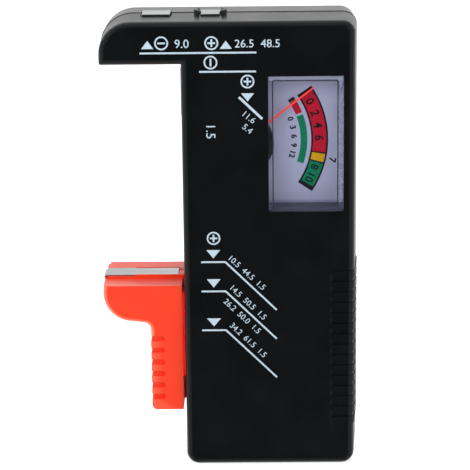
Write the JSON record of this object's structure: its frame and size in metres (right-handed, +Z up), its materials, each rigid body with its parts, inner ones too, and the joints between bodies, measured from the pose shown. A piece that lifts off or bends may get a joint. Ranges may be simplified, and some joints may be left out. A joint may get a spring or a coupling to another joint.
{
  "type": "battery tester",
  "caption": "Handheld tester for batteries: dark case with a fixed jaw, a red sliding contact, snap contacts on top and a dial with a red pointer behind a window.",
  "frame": {"origin": "centre of the case's bottom face (the jaw and the slider overhang to -X)", "axes": "+Z up along the case's height, +X to the right seen from the dial side, +Y from the dial side to the back"},
  "size_m": [0.0602, 0.0253, 0.1092],
  "materials": {
    "case_black": "fine satin texture",
    "slider_red": "smooth satin",
    "contact_plate": "nickel plated",
    "screw_steel": "zinc plated",
    "rail_brass": "rolled strip",
    "small_brass": "turned",
    "spring_bronze": "spring bronze",
    "winding_copper": "enamelled copper wire",
    "former_aluminium": "thin sheet",
    "pointer_red": "painted",
    "iron": "blackened",
    "magnet": "sintered",
    "meter_black": "moulded",
    "cap_black": "moulded",
    "lens_clear": "clear moulding",
    "dial_print": "printed sheet",
    "board": "glass-fibre laminate",
    "resistor_body": "lacquered",
    "wire_black": "flexible insulation",
    "wire_red": "flexible insulation",
    "wire_yellow": "flexible insulation"
  },
  "bodies": {
    "case": {"front_cover": "case_black", "back_cover": "case_black", "case_screws": "screw_steel", "jaw_contact": "contact_plate", "button_contact": "contact_plate", "snap_contact_negative": "contact_plate", "snap_contact_positive": "contact_plate", "contact_rail": "rail_brass", "circuit_board": "board", "cell_load_resistor": "resistor_body", "block_load_resistor": "resistor_body", "series_resistor": "resistor_body", "jaw_wire": "wire_black", "block_wire": "wire_red", "button_wire": "wire_yellow", "rail_wire": "wire_red", "link_wire": "wire_black", "meter_base": "meter_black", "meter_lens": "lens_clear", "dial_plate": "dial_print", "yoke_ring": "iron", "magnet_core": "magnet", "core_spacers": "small_brass", "cap_bridge": "cap_black", "bridge_screws": "small_brass", "bearing_screws": "small_brass", "hairspring_front": "spring_bronze", "hairspring_rear": "spring_bronze", "meter_terminals": "small_brass", "terminal_nuts": "screw_steel"},
    "movement": {"coil_former": "former_aluminium", "coil_winding": "winding_copper", "pivot_pins": "screw_steel", "pointer": "pointer_red", "balance_weights": "small_brass"},
    "slider_body": {"slider": "slider_red", "slider_contact": "contact_plate", "slider_wiper": "spring_bronze", "wiper_rivet": "small_brass"}
  },
  "joints": [
    {"name": "slider_slide", "type": "slide", "parent": "case", "child": "slider_body", "axis": [0, 0, 1], "range_m": [-0.0115, 0.008]},
    {"name": "pointer_swing", "type": "hinge", "parent": "case", "child": "movement", "pos_m": [-0.00595, 0, 0.07885], "axis": [0, 1, 0], "range_deg": [0, 76], "stiffness_Nm_per_rad": 0.00002, "deforming": ["hairspring_front", "hairspring_rear"]}
  ]
}
